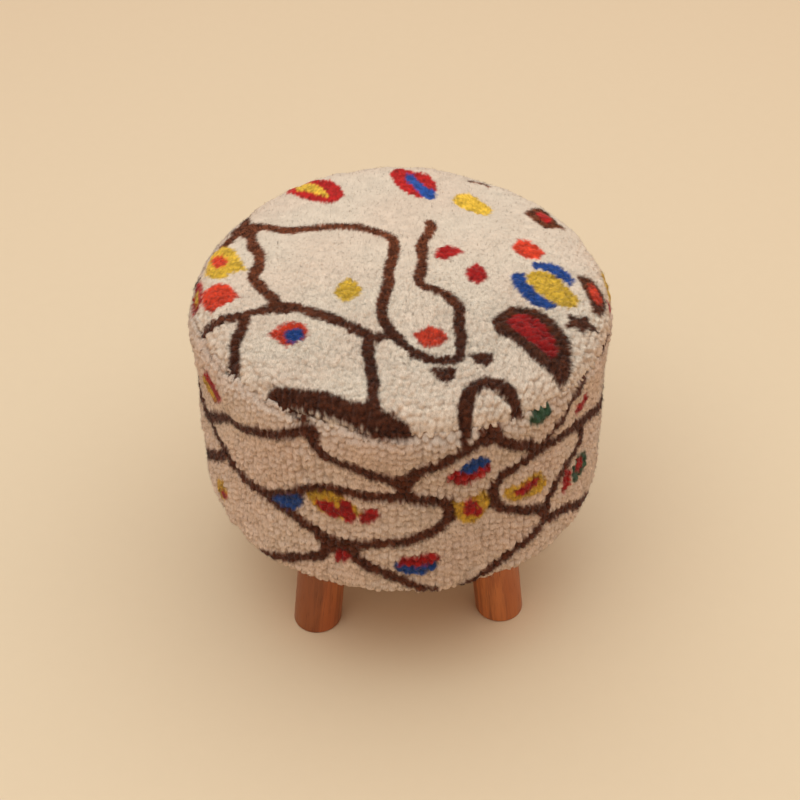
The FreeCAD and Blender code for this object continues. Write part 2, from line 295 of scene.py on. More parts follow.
def leg_finish(name, azimuth, pith):
    """Growth rings about an axis beside the peg, drawn out along it, darker towards that axis
    where the heartwood shows, with pores and streaks, and painted shade along the foot's edge."""
    material, place = new_finish(name)
    turned = math.radians(azimuth)
    seat = tuple(float(part) for part in round_points(leg_seat_circle, turned, leg_height))
    tilt = {"Vector": place, "Location": seat, "Rotation": (0, -leg_splay, turned)}
    along = place.node("ShaderNodeMapping", {"vector_type": "TEXTURE"}, tilt)
    wander = along.stretched((1.0, 1.0, 0.12)).noise(55.0, 3.0)
    x, y, _ = along.axes()
    from_pith = ((x - pith[0]) ** 2 + (y - pith[1]) ** 2) ** 0.5 + wander * leg_ring_wander
    heart = 1 - from_pith.between(*leg_heart_edge)
    ring = (from_pith / leg_ring_width).maths("FRACT")
    late = ring.between(0.35, 0.95) * (1 - ring.between(0.95, 1.0))
    streak = along.stretched((1.0, 1.0, 0.05)).noise(150.0, 5.0, 0.7).between(0.46, 0.68)
    pores = along.stretched((1.0, 1.0, 0.04)).noise(1100.0, 2.0).between(0.6, 0.72)
    cloud = along.stretched((1.0, 1.0, 0.3)).noise(28.0, 2.0)
    # Painted shade: a dark band along the foot's edge, where the peg meets the floor.
    foot = 1 - place.axes()[2].between(0.0006, 0.0026)
    colour = cloud.between(0.3, 0.7).mix(dye(*leg_light_colour), dye(*leg_warm_colour))
    colour = (late * 0.45).mix(colour, dye(*leg_warm_colour))
    for mark, share in ((heart, 0.5), (streak, 0.62), (pores, 0.5), (foot, 0.55)):
        colour = (mark * share).mix(colour, dye(*leg_dark_colour))
    coat(place, colour, 0.42 + pores * 0.2, 1 - pores * 0.7 - late * 0.2, 0.0002)
    return material


for count, (leg_name, azimuth) in enumerate(leg_azimuths.items()):
    lean = count * leg_pith_turn
    pith = (leg_pith_away * math.cos(lean), leg_pith_away * math.sin(lean))
    finish = leg_finish(leg_name.replace("leg", "leg_wood"), azimuth, pith)
    leg = new_piece(leg_name + "_peg", *leg_form(azimuth), finish)
    ends = len(leg.data.polygons) - 2
    for end in (ends, ends + 1):
        leg.data.polygons[end].use_smooth = False
    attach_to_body(leg, "root")
    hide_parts(leg_name)


# The base board and the top board are round birch plywood, 18 and 15 mm thick, sawn out with
# a router. The frame, the cover and the legs are all fixed to them.
board_face_colour = (214, 182, 138)
board_core_colour = (176, 132, 86)
ply_thick = 0.0015


def give(material, *names):
    """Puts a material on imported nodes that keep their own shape."""
    for name in names:
        if not nodes[name].material_slots:
            nodes[name].data.materials.append(material)
        for held in nodes[name].material_slots:
            held.material = material


plywood, place = new_finish("plywood")
layer = (place.axes()[2] / ply_thick).maths("FLOOR")
crossed = (layer / 2).maths("FRACT").between(0.2, 0.3)
lengthwise = place.stretched((0.05, 1.0, 1.0)).noise(420.0, 4.0)
crosswise = place.stretched((1.0, 0.05, 1.0)).noise(420.0, 4.0)
grain = crossed * crosswise + (1 - crossed) * lengthwise
darker = grain.between(0.35, 0.75) * 0.6 + crossed * 0.25
colour = darker.mix(dye(*board_face_colour), dye(*board_core_colour))
coat(place, colour, 0.7, grain, 0.0002)
give(plywood, "base_board", "top_board")


# The leg blocks and the eight upright posts are sawn softwood, planed, with a knot here and
# there. The screws go through them into the legs and the boards.
softwood_colour = (224, 190, 140)
softwood_late_colour = (190, 140, 88)


def softwood_finish(name, stretch):
    """Straight growth lines drawn out along the piece, broken by a slow wander."""
    material, place = new_finish(name)
    wander = place.stretched(stretch).noise(30.0, 2.0)
    line = place.stretched(stretch).noise(330.0, 3.0)
    lines = (line * 0.7 + wander * 0.3).between(0.42, 0.6)
    colour = (lines * 0.6).mix(dye(*softwood_colour), dye(*softwood_late_colour))
    coat(place, colour, 0.65, line, 0.0002)
    return material


posts = [f"post_{number}" for number in range(1, 9)]
blocks = [f"leg_block_{number}" for number in range(1, 5)]
give(softwood_finish("post_wood", (1.0, 1.0, 0.05)), *posts)
give(softwood_finish("block_wood", (0.05, 1.0, 1.0)), *blocks)


# The drum's skin is 3 mm hardboard bent round both boards and stapled to their edges: dark
# brown pressed fibre, smooth outside.
hardboard_colour = (124, 86, 58)
hardboard_fleck_colour = (82, 54, 36)

hardboard, place = new_finish("hardboard")
flecks = place.noise(900.0, 5.0, 0.65)
blotch = place.noise(18.0, 2.0)
darker = flecks.between(0.45, 0.7) * 0.7 + blotch * 0.2
colour = darker.mix(dye(*hardboard_colour), dye(*hardboard_fleck_colour))
coat(place, colour, 0.55, flecks, 0.0002)
give(hardboard, "drum_skin")


# The screws are yellow-plated countersunk steel and the staples bright galvanised wire, both
# driven flush.
screw_colour = (196, 176, 118)
staple_colour = (186, 188, 190)


def metal_finish(name, bright, shade):
    """Plated metal: an uneven tone down to a share of the bright colour, and drawn marks that
    roughen it."""
    material, place = new_finish(name)
    tone = place.noise(240.0, 3.0)
    marks = place.stretched((1.0, 1.0, 0.2)).noise(3000.0, 2.0)
    dull = dye(*[part * shade for part in bright])
    colour = (tone.between(0.35, 0.7) * 0.6).mix(dye(*bright), dull)
    coat(place, colour, 0.28 + marks * 0.25, marks, 0.00005, Metallic=1.0)
    return material


give(metal_finish("plated_steel", screw_colour, 0.8),
     "leg_screws", "post_screws_top", "post_screws_bottom")
give(metal_finish("staple_steel", staple_colour, 0.75),
     "skin_staples", "band_staples", "dust_staples")


# The wadding is a strip of white polyester fleece, 9 mm thick, wrapped round the skin so that
# the rug doesn't rub on it. It is glued in a few spots and held by the cover.
wadding_inner, wadding_outer = 0.1756, 0.1846
wadding_low, wadding_high = 0.1445, 0.3075
wadding_colour = (238, 236, 230)
wadding_shade_colour = (212, 208, 200)
wadding_loft = 0.0012
wadding_rows = 40
wadding_around = 360


def drift(places, size, seed):
    """A smooth random field from about -1 to 1: sine waves about one size long, in random
    directions and with random starts, added up."""
    draws = np.random.default_rng(seed)
    waves = 10
    ways = draws.normal(size=(waves, places.shape[-1]))
    pace = 2 * math.pi / size * draws.uniform(0.6, 1.5, (waves, 1))
    ways *= pace / np.linalg.norm(ways, axis=1)[:, None]
    starts = draws.uniform(0, 2 * math.pi, waves)
    return np.sin(places @ ways.T + starts).sum(-1) / math.sqrt(waves)


def ring_form(radii, heights, around):
    """Points of a closed section, radius and height, turned about the stool's axis."""
    angle = np.linspace(0, 2 * math.pi, around, endpoint=False)
    return round_points(radii[:, None], angle, heights[:, None])


def closed_ring(name, points, material):
    """A ring-shaped piece from rows of points round the axis; its last row joins the first."""
    rows, around = points.shape[:2]
    points = np.concatenate([points, points[:1]])
    faces = round_grid(rows + 1, around) % (rows * around)
    return new_piece(name, points[:-1].reshape(-1, 3), [faces], material)


fleece, place = new_finish("fleece")
fibres = place.stretched((1.0, 1.0, 0.35)).noise(1500.0, 5.0, 0.7)
colour = fibres.between(0.3, 0.7).mix(dye(*wadding_shade_colour), dye(*wadding_colour))
coat(place, colour, 0.95, fibres, 0.0008, Sheen_Weight=0.3)
high = np.linspace(wadding_low, wadding_high, wadding_rows)
round_edge = wadding_loft * 2 * (np.abs(np.linspace(-1, 1, wadding_rows)) ** 12)
fleece_radii = np.concatenate([wadding_outer - round_edge, (wadding_inner + round_edge)[::-1]])
fleece_points = ring_form(fleece_radii, np.concatenate([high, high[::-1]]), wadding_around)
puff = drift(fleece_points, 0.012, 5)[..., None] * wadding_loft * 0.5
outside = (np.arange(2 * wadding_rows) < wadding_rows)[:, None, None]
fleece_points[..., :2] *= 1 + np.where(outside, puff, 0) / wadding_outer
wadding = closed_ring("wadding_strip", fleece_points, fleece)
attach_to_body(wadding, "root")
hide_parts("side_wadding")


# The seat foam is a cut disc of firm upholstery foam, 50 mm high in the middle, pulled to a
# round shoulder by the cover, and lying on the top board. All layers follow one outline:
# a shallow crown, a shoulder, an upright side, a corner and the turned-under edge.
crown_radius = 1.810
shoulder_radius = 0.0345
shoulder_middle = (0.1694, 0.3317)
corner_radius = 0.013
corner_middle = (0.1909, 0.151)
crown_lean = math.asin(shoulder_middle[0] / (crown_radius - shoulder_radius))
crown_middle = shoulder_middle[1] - (crown_radius - shoulder_radius) * math.cos(crown_lean)
crown_end = crown_radius * crown_lean
shoulder_end = crown_end + shoulder_radius * (math.pi / 2 - crown_lean)
side_end = shoulder_end + shoulder_middle[1] - corner_middle[1]
corner_end = side_end + corner_radius * math.pi / 2
foam_depth = 0.0164
foam_low = 0.3082
foam_foot_rows = 12
foam_around = 240
foam_colour = (232, 220, 176)
foam_pore_colour = (190, 174, 126)


def outline(run, depth):
    """The cover's outline at a run along it from the middle of the seat, a depth below its
    surface: radius, height, and the outward direction's angle from upright."""
    lean = np.select(
        [run < crown_end, run < shoulder_end, run < side_end, run < corner_end],
        [run / crown_radius, crown_lean + (run - crown_end) / shoulder_radius, math.pi / 2,
         math.pi / 2 + (run - side_end) / corner_radius], math.pi)
    base_radius = np.select([run < crown_end, run < shoulder_end, run < corner_end],
                            [0, shoulder_middle[0], corner_middle[0]],
                            corner_middle[0] - (run - corner_end))
    base_height = np.select(
        [run < crown_end, run < shoulder_end, run < side_end],
        [crown_middle, shoulder_middle[1], shoulder_middle[1] - (run - shoulder_end)],
        corner_middle[1])
    bend = np.select([run < crown_end, run < shoulder_end],
                     [crown_radius, shoulder_radius], corner_radius)
    return (base_radius + (bend - depth) * np.sin(lean),
            base_height + (bend - depth) * np.cos(lean), lean)


foam, place = new_finish("foam")
pores = place.noise(1400.0, 4.0, 0.7)
yellowing = place.noise(12.0, 2.0)
colour = pores.between(0.35, 0.6).mix(dye(*foam_pore_colour), dye(*foam_colour))
coat(place, (yellowing * 0.3).mix(colour, dye(*foam_pore_colour)), 0.95, pores, 0.0006)
run = np.linspace(0.002, shoulder_end, 60)
foam_radii, foam_heights, _ = outline(run, foam_depth)
edge_radii = foam_radii[-1] - np.array([0.0, 0.0015])
edge_heights = foam_low + np.array([0.004, 0.001])
foot_radii = foam_radii[-1] * 0.98 * np.linspace(1, 0.02, foam_foot_rows)
foam_radii = np.concatenate([foam_radii, edge_radii, foot_radii])
foam_heights = np.concatenate([foam_heights, edge_heights, np.full(foam_foot_rows, foam_low)])
foam_points = ring_form(foam_radii, foam_heights, foam_around).reshape(-1, 3)
first_ring = np.arange(foam_around)
last_ring = first_ring + len(foam_points) - foam_around
foam_faces = [round_grid(len(foam_radii), foam_around)[:, ::-1],
              np.stack([first_ring, last_ring[::-1]])]
foam_piece = new_piece("foam_disc", foam_points, foam_faces, foam)
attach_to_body(foam_piece, "root")
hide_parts("seat_foam")


# The rug is knotted by hand of thick soft wool on a wool ground, in one piece, and then cut
# into a round top panel and a long side band. Its pattern is a freehand net of brown lines
# with dyed spots, drawn here by points in millimetres on the two panels.
cream_top = (218, 199, 179)
# The band's cream is the top's wool made a little darker: painted shade on the upright side.
shaded_cream_side = (214, 194, 177)
brown = (98, 50, 29)
orange_red = (210, 62, 37)
deep_red = (167, 28, 27)
yellow = (211, 168, 56)
blue = (34, 70, 139)
green = (56, 84, 60)
yarns = np.array([dye(*shade)[:3] for shade in
                  (cream_top, shaded_cream_side, brown, orange_red, deep_red, yellow, blue, green)])
CREAM_TOP, SHADED_CREAM_SIDE, BROWN, ORANGE, RED, YELLOW, BLUE, GREEN = range(len(yarns))
seam_run = crown_end + shoulder_radius * (math.radians(62) - crown_lean)
cover_radius = 0.2039

top_lines = [
    (11, [(-147, 97), (-148, 112), (-148, 126), (-147, 144)]),
    (11, [(-148, 94), (-157, 87), (-168, 75)]),
    (11, [(-142, 99), (-126, 94), (-112, 84), (-98, 80), (-82, 82), (-66, 81), (-50, 79),
        (-36, 76), (-25, 70), (-14, 62), (-6, 53), (-4, 42), (-5, 28), (-8, 15), (-12, 2),
        (-14, -18), (-18, -35), (-22, -50), (-23, -62), (-22, -72), (-19, -81), (-15, -91),
        (-9, -101), (-4, -110), (2, -117), (10, -124), (20, -127), (32, -128), (41, -126),
        (44, -118), (45, -110), (47, -100), (46, -88), (47, -75), (49, -60), (47, -50), (42, -40),
        (33, -33), (22, -29), (16, -22), (16, -12), (18, -2), (20, 10), (22, 24), (23, 38),
        (25, 48), (30, 57), (34, 67), (35, 77)]),
    (12, [(-143, 86), (-141, 70), (-138, 56), (-134, 42), (-135, 26), (-140, 12), (-140, 4),
        (-135, -5), (-128, -18), (-121, -30), (-117, -40)]),
    (12, [(-186, -52), (-170, -51), (-150, -46), (-130, -41), (-115, -39), (-100, -44), (-85, -53),
        (-70, -63), (-55, -74), (-42, -87), (-33, -95), (-20, -92)]),
    (11, [(-149, -50), (-154, -70), (-158, -82), (-160, -95), (-160, -112)]),
    (11.5, [(-39, -98), (-39, -125), (-37, -150), (-39, -172), (-39, -188)]),
    (17, [(-127, -149), (-112, -155), (-94, -162), (-77, -170), (-60, -179), (-45, -186),
        (-30, -192), (-14, -200)]),
    (14, [(41, -202), (41, -188), (43, -176), (48, -167), (56, -162), (66, -161), (76, -164),
        (84, -170), (89, -180)]),
    (4, [(83, 159), (92, 158), (99, 153), (102, 147)]),
    (4, [(89, 181), (97, 177), (104, 172)]),
]
top_spots = [
    (BROWN, [(-161, 106), (-150, 110), (-138, 106), (-128, 99), (-133, 90), (-140, 79), (-150, 80),
        (-158, 87), (-163, 96)]),
    (BROWN, [(-128, -38), (-118, -29), (-106, -40), (-100, -48), (-112, -52), (-122, -50)]),
    (BROWN, [(50, -121), (61, -122), (73, -122), (72, -133), (64, -142), (56, -136)]),
    (BROWN, [(14, -138), (26, -136), (38, -140), (35, -151), (28, -160), (21, -153)]),
    (BROWN, [(148, -67), (157, -73), (168, -69), (168, -77), (178, -83), (167, -87), (160, -96),
        (154, -89), (143, -88), (150, -79)]),
    (BROWN, [(77, -86), (78, -76), (84, -67), (100, -58), (115, -60), (129, -67), (139, -84),
        (146, -105), (145, -125), (142, -138), (131, -152), (119, -142), (109, -130), (99, -115),
        (90, -103), (81, -96)]),
    (RED, [(89, -80), (97, -70), (106, -67), (116, -72), (125, -82), (131, -98), (133, -112),
        (131, -124), (125, -126), (116, -115), (106, -103), (97, -92)]),
    (RED, [(33, 22), (38, 35), (49, 41), (58, 36), (63, 27), (54, 22), (41, 16)]),
    (RED, [(60, -8), (63, 1), (74, 11), (79, 5), (80, -4), (82, -14), (71, -25), (63, -18)]),
    (ORANGE, [(110, 33), (118, 47), (127, 46), (135, 38), (142, 24), (134, 17), (122, 15),
        (115, 23)]),
    (YELLOW, [(61, 119), (69, 132), (79, 134), (87, 125), (95, 112), (100, 102), (97, 93),
        (90, 90), (81, 96), (70, 104), (64, 111)]),
    (YELLOW, [(-66, -28), (-60, -15), (-51, -6), (-45, -13), (-39, -25), (-42, -37), (-58, -41)]),
    (YELLOW, [(-188, 34), (-185, 54), (-182, 70), (-172, 75), (-163, 68), (-157, 56), (-152, 38),
        (-146, 21), (-160, 21), (-171, 13), (-183, 20)]),
    (ORANGE, [(-181, 46), (-180, 58), (-170, 53), (-165, 42), (-167, 31), (-177, 34)]),
    (ORANGE, [(-190, 0), (-178, 8), (-163, 3), (-153, -19), (-166, -26), (-181, -37),
        (-190, -18)]),
    (RED, [(-200, 28), (-192, 29), (-189, 12), (-191, -12), (-195, -18), (-200, -16)]),
    (YELLOW, [(-200, 16), (-195, 16), (-194, -4), (-200, -8)]),
    (ORANGE, [(-129, -77), (-118, -67), (-106, -63), (-94, -68), (-92, -78), (-95, -88),
        (-103, -95), (-112, -97), (-121, -87)]),
    (BLUE, [(-115, -80), (-110, -74), (-99, -74), (-95, -82), (-98, -90), (-105, -94),
        (-112, -90)]),
    (ORANGE, [(2, -91), (10, -87), (19, -82), (31, -89), (35, -102), (26, -110), (11, -110),
        (6, -100)]),
    (BLUE, [(125, -2), (127, 9), (135, 12), (147, 10), (155, 2), (161, -8), (164, -20), (157, -27),
        (149, -15), (141, -5), (131, -1)]),
    (BLUE, [(103, -14), (107, -7), (116, -8), (118, -22), (125, -36), (135, -48), (146, -56),
        (131, -60), (119, -57), (111, -43), (104, -30)]),
    (YELLOW, [(118, -10), (130, -3), (141, -5), (150, -19), (158, -33), (164, -48), (158, -60),
        (149, -61), (143, -57), (134, -46), (124, -33), (118, -21)]),
    (BROWN, [(167, -10), (175, -8), (183, -16), (190, -28), (191, -42), (186, -55), (180, -65),
        (174, -58), (173, -42), (169, -25)]),
    (ORANGE, [(175, -26), (181, -21), (187, -31), (187, -43), (181, -49), (176, -40)]),
    (YELLOW, [(195, 12), (204, 14), (206, -20), (198, -26), (195, -10)]),
    (RED, [(193, -28), (204, -27), (204, -42), (196, -46)]),
    (BROWN, [(131, 95), (138, 104), (148, 109), (156, 106), (159, 92), (162, 79), (170, 69),
        (158, 69), (149, 68), (144, 76), (137, 87)]),
    (RED, [(142, 99), (150, 103), (155, 96), (158, 86), (155, 78), (149, 80), (145, 90)]),
    (RED, [(-105, 152), (-97, 145), (-88, 136), (-78, 130), (-60, 123), (-50, 133), (-46, 140),
        (-51, 156), (-61, 167), (-76, 172), (-92, 178), (-102, 170)]),
    (YELLOW, [(-95, 153), (-95, 166), (-86, 172), (-77, 163), (-68, 152), (-61, 133), (-72, 140),
        (-84, 149)]),
    (RED, [(2, 168), (6, 152), (14, 138), (26, 126), (40, 128), (48, 138), (48, 152), (43, 165),
        (32, 170), (20, 178), (12, 183), (5, 179)]),
    (BLUE, [(17, 160), (18, 170), (26, 168), (30, 156), (38, 144), (46, 137), (45, 125), (37, 122),
        (31, 130), (26, 142), (20, 152)]),
]
side_lines = [
    (12.5, [(-166, 256), (-160, 266), (-155, 279), (-150, 291), (-145, 298), (-140, 303),
        (-135, 311), (-130, 318), (-125, 328), (-119, 342)]),
    (12.5, [(-119, 340), (-117, 326), (-115, 318), (-110, 309), (-105, 304), (-100, 298),
        (-97, 293), (-94, 284)]),
    (12.5, [(-94, 294), (-90, 306), (-85, 315), (-82, 321), (-78, 328), (-73, 337)]),
    (12.5, [(-122, 259), (-118, 270), (-112, 274), (-106, 273), (-100, 272), (-95, 274),
        (-90, 272), (-86, 267), (-82, 258), (-81, 248), (-83, 237), (-87, 227), (-91, 221),
        (-95, 217), (-100, 214), (-105, 209), (-112, 205)]),
    (12.5, [(-165, 257), (-158, 253), (-153, 247), (-149, 238), (-144, 233), (-138, 231),
        (-132, 235), (-127, 246), (-122, 258)]),
    (12.5, [(-136, 230), (-131, 226), (-126, 224), (-122, 219), (-118, 211), (-113, 203)]),
    (12.5, [(-94, 275), (-90, 270), (-86, 266), (-82, 262)]),
    (12.5, [(-70, 270), (-70, 258), (-70, 250), (-68, 241), (-66, 234), (-62, 226), (-58, 218),
        (-54, 209), (-52, 200), (-51, 190), (-47, 186), (-43, 182), (-39, 176), (-35, 166),
        (-31, 157), (-26, 148)]),
    (12, [(-70, 266), (-68, 277), (-65, 284), (-60, 289), (-54, 291), (-46, 289), (-41, 284),
        (-38, 274), (-37, 263), (-39, 253), (-43, 247), (-46, 240), (-48, 230), (-50, 219),
        (-52, 206)]),
    (12.5, [(-73, 335), (-69, 326), (-66, 319), (-62, 311), (-60, 305), (-57, 298), (-54, 294),
        (-50, 291), (-45, 288), (-40, 284), (-35, 279), (-30, 272), (-25, 263), (-19, 252),
        (-12, 244), (-4, 239), (6, 238), (16, 248), (27, 262), (36, 276), (44, 292), (52, 308),
        (60, 322), (66, 338), (68, 350)]),
    (10, [(-53, 303), (-50, 310), (-47, 319), (-45, 328), (-42, 335), (-40, 341), (-38, 350),
        (-39, 357)]),
    (12.5, [(-54, 186), (-58, 179), (-62, 172), (-67, 163), (-72, 154), (-77, 145)]),
    (12.5, [(-183, 150), (-178, 163), (-172, 180), (-167, 195), (-161, 213), (-157, 224),
        (-153, 236), (-151, 246)]),
    (12.5, [(-115, 191), (-120, 175), (-125, 166), (-130, 156), (-136, 146)]),
    (12.5, [(-109, 193), (-105, 185), (-100, 175), (-95, 165), (-90, 155), (-86, 148)]),
    (10, [(-78, 358), (-78, 348), (-79, 338)]),
    (9, [(-64, 358), (-63, 347)]),
    (12.5, [(6, 238), (14, 226), (22, 212), (32, 200), (43, 190), (54, 183), (60, 172), (63, 160),
        (67, 148)]),
    (12.5, [(36, 276), (48, 272), (60, 266), (72, 262), (84, 266), (95, 276), (104, 290),
        (113, 306), (122, 320), (130, 334), (134, 350)]),
    (12.5, [(72, 262), (76, 248), (84, 234), (94, 222), (104, 212), (112, 200), (116, 186),
        (118, 170), (123, 148)]),
    (12.5, [(43, 190), (38, 178), (34, 166), (29, 149)]),
    (12.5, [(104, 212), (118, 214), (132, 220), (145, 230), (156, 242), (164, 252), (172, 258),
        (180, 261), (188, 260), (195, 256)]),
    (12.5, [(113, 306), (126, 298), (138, 288), (148, 278), (157, 267), (164, 252)]),
    (12.5, [(145, 230), (150, 216), (156, 202), (162, 188), (168, 174), (174, 162), (178, 148)]),
    (12.5, [(157, 267), (163, 282), (167, 298), (170, 316), (171, 334), (170, 350)]),
]
side_spots = [
    (BROWN, [(-121, 336), (-121, 346), (-118, 350), (-116, 346), (-115, 336), (-116, 326),
        (-119, 326)]),
    (BROWN, [(-125, 357), (-124, 350), (-121, 346), (-119, 350), (-120, 357)]),
    (BROWN, [(-107, 354), (-106, 349), (-100, 344), (-93, 344), (-91, 349), (-91, 354)]),
    (BROWN, [(-49, 358), (-48, 350), (-45, 350), (-43, 358)]),
    (BROWN, [(-76, 330), (-75, 345), (-72, 349), (-69, 346), (-68, 334), (-70, 327), (-73, 325)]),
    (BROWN, [(-99, 298), (-97, 288), (-95, 280), (-95, 272), (-92, 272), (-92, 282), (-91, 292),
        (-89, 301), (-94, 303)]),
    (BROWN, [(-166, 254), (-166, 262), (-161, 264), (-158, 257), (-160, 250)]),
    (BROWN, [(-118, 200), (-119, 211), (-113, 211), (-106, 211), (-105, 200), (-108, 189),
        (-115, 188)]),
    (BROWN, [(-55, 205), (-54, 213), (-51, 213), (-49, 205), (-50, 196), (-53, 196)]),
    (BROWN, [(-84, 237), (-84, 263), (-80, 263), (-80, 237)]),
    (BROWN, [(-33, 352), (-28, 355), (-22, 347), (-17, 335), (-22, 336), (-28, 340), (-32, 345)]),
    (RED, [(-188, 351), (-188, 360), (-176, 360), (-174, 350), (-180, 347)]),
    (YELLOW, [(-184, 354), (-184, 360), (-178, 360), (-177, 354)]),
    (RED, [(-161, 317), (-158, 328), (-156, 336), (-152, 328), (-149, 318), (-151, 308),
        (-155, 298), (-159, 304)]),
    (YELLOW, [(-161, 310), (-160, 320), (-157, 322), (-155, 312), (-153, 306), (-155, 300),
        (-159, 303)]),
    (YELLOW, [(-162, 168), (-160, 182), (-157, 194), (-154, 200), (-152, 192), (-151, 184),
        (-154, 172), (-158, 162)]),
    (RED, [(-158, 173), (-155, 184), (-151, 187), (-152, 180), (-155, 172)]),
    (BLUE, [(-133, 228), (-130, 238), (-126, 247), (-123, 254), (-121, 251), (-122, 240),
        (-124, 230), (-129, 227)]),
    (YELLOW, [(-120, 258), (-118, 267), (-114, 269), (-110, 267), (-107, 260), (-105, 248),
        (-108, 241), (-113, 236), (-117, 241), (-119, 250)]),
    (RED, [(-118, 252), (-116, 259), (-113, 258), (-111, 252), (-110, 244), (-113, 236),
        (-117, 243)]),
    (RED, [(-111, 263), (-108, 263), (-107, 251), (-106, 240), (-109, 233), (-111, 243)]),
    (RED, [(-106, 247), (-103, 258), (-101, 257), (-100, 248), (-102, 240), (-105, 235)]),
    (RED, [(-83, 290), (-83, 300), (-80, 307), (-75, 304), (-71, 300), (-71, 292), (-74, 285),
        (-78, 282), (-81, 285)]),
    (BLUE, [(-80, 300), (-80, 308), (-77, 315), (-74, 315), (-72, 309), (-71, 302), (-74, 298),
        (-78, 296)]),
    (YELLOW, [(-81, 260), (-77, 261), (-74, 267), (-72, 267), (-71, 254), (-71, 243), (-73, 233),
        (-75, 227), (-78, 230), (-80, 242)]),
    (RED, [(-78, 260), (-75, 261), (-74, 250), (-72, 241), (-74, 235), (-78, 240)]),
    (YELLOW, [(-67, 252), (-66, 260), (-62, 262), (-58, 266), (-55, 262), (-53, 251), (-52, 241),
        (-55, 234), (-59, 237), (-64, 240)]),
    (RED, [(-64, 252), (-61, 258), (-57, 259), (-55, 253), (-56, 247), (-60, 244), (-63, 246)]),
    (GREEN, [(-61, 333), (-61, 342), (-58, 347), (-54, 348), (-53, 340), (-54, 332), (-58, 327)]),
    (RED, [(-42, 303), (-41, 312), (-38, 319), (-36, 314), (-34, 304), (-36, 298), (-40, 298)]),
    (GREEN, [(-41, 215), (-41, 232), (-38, 242), (-35, 240), (-32, 228), (-33, 212), (-36, 206),
        (-40, 209)]),
    (RED, [(-46, 226), (-44, 238), (-42, 236), (-41, 224), (-42, 208), (-44, 206), (-45, 214)]),
    (RED, [(-39, 230), (-38, 238), (-36, 236), (-35, 222), (-36, 213), (-38, 219)]),
    (BLUE, [(-97, 187), (-96, 191), (-94, 186), (-90, 184), (-85, 187), (-85, 180), (-88, 173),
        (-93, 171), (-96, 177)]),
    (RED, [(-96, 185), (-95, 196), (-91, 199), (-86, 200), (-84, 194), (-85, 186), (-90, 184)]),
    (RED, [(-113, 182), (-112, 194), (-110, 197), (-108, 190), (-110, 180), (-113, 177)]),
    (RED, [(14, 285), (18, 297), (24, 303), (29, 298), (27, 286), (21, 279)]),
    (YELLOW, [(18, 288), (21, 296), (26, 297), (25, 288), (21, 284)]),
    (BLUE, [(30, 228), (36, 240), (44, 243), (50, 236), (48, 226), (41, 221), (34, 222)]),
    (RED, [(34, 229), (39, 236), (46, 235), (44, 228), (38, 226)]),
    (YELLOW, [(74, 296), (80, 308), (88, 312), (93, 306), (90, 296), (82, 290)]),
    (ORANGE, [(78, 298), (83, 306), (89, 306), (87, 298), (82, 294)]),
    (RED, [(84, 176), (88, 190), (95, 195), (100, 187), (98, 175), (91, 170)]),
    (BLUE, [(87, 172), (92, 178), (98, 178), (98, 170), (92, 165)]),
    (ORANGE, [(118, 252), (123, 264), (131, 268), (137, 260), (134, 249), (126, 244)]),
    (BLUE, [(123, 253), (127, 260), (132, 260), (131, 252), (127, 249)]),
    (YELLOW, [(138, 184), (141, 197), (147, 203), (151, 194), (149, 182), (143, 177)]),
    (RED, [(140, 186), (144, 196), (148, 193), (146, 184)]),
    (RED, [(140, 318), (143, 330), (149, 336), (154, 329), (151, 317), (146, 313)]),
    (GREEN, [(10, 186), (13, 196), (18, 199), (21, 191), (18, 183)]),
    (YELLOW, [(102, 326), (106, 336), (112, 338), (114, 330), (109, 323)]),
]


def smooth_line(points):
    """A smooth freehand line through points: the Catmull-Rom curve, with eight steps a stretch."""
    points = np.array(points, float)
    points = np.concatenate([points[:1] * 2 - points[1:2], points, points[-1:] * 2 - points[-2:-1]])
    count = len(points) - 3
    first, second, third, fourth = (points[start:start + count, None] for start in range(4))
    share = np.linspace(0, 1, 8, endpoint=False)[None, :, None]
    bend = 2 * first - 5 * second + 4 * third - fourth
    twist = 3 * (second - third) + fourth - first
    line = second + 0.5 * share * (third - first + share * (bend + share * twist))
    return np.concatenate([line.reshape(-1, 2), points[-2:-1]])


def nearness(places, line):
    """Each place's distance from a line of short straight runs."""
    start, run = line[:-1], np.diff(line, axis=0)
    away = places[:, None] - start
    share = np.clip((away * run).sum(-1) / (run ** 2).sum(-1), 0, 1)
    return np.sqrt(((away - share[..., None] * run) ** 2).sum(-1)).min(1)


def inside(places, corners):
    """Whether each place lies inside a closed outline: it crosses the edges beside it an odd
    number of times."""
    here, there = corners, np.roll(corners, -1, axis=0)
    x, y = places[:, 0, None], places[:, 1, None]
    crosses = (here[:, 1] > y) != (there[:, 1] > y)
    rise = np.where(there[:, 1] == here[:, 1], 1, there[:, 1] - here[:, 1])
    at = here[:, 0] + (y - here[:, 1]) / rise * (there[:, 0] - here[:, 0])
    return (crosses & (x < at)).sum(1) % 2 == 1


def near_box(places, corners, margin):
    """The numbers of the places in the box round some points, widened by a margin."""
    low, high = corners.min(0) - margin, corners.max(0) + margin
    return np.flatnonzero(((places > low) & (places < high)).all(1))


def yarn_of(places, ground, lines, spots, stretch, seed):
    """The yarn at each place of a panel. Places and points are in millimetres once their
    first coordinate is stretched. The lines' width swells and thins along them."""
    places = places * (stretch, 1)
    found = np.full(len(places), ground)
    swell = 1 + 0.12 * drift(places, 30.0, seed)
    for width, points in lines:
        line = smooth_line(np.array(points) * (stretch, 1))
        close = near_box(places, line, width)
        reach = nearness(places[close], line)
        found[close[reach < width / 2 * swell[close]]] = BROWN
    for yarn, points in spots:
        corners = np.array(points) * (stretch, 1.0)
        close = near_box(places, corners, 0)
        found[close[inside(places[close], corners)]] = yarn
    return found


def top_yarns(points, seed):
    """The yarn at points of the top panel, from their places seen from above."""
    return yarn_of(points[:, :2] * 1000, CREAM_TOP, top_lines, top_spots, 1.0, seed)


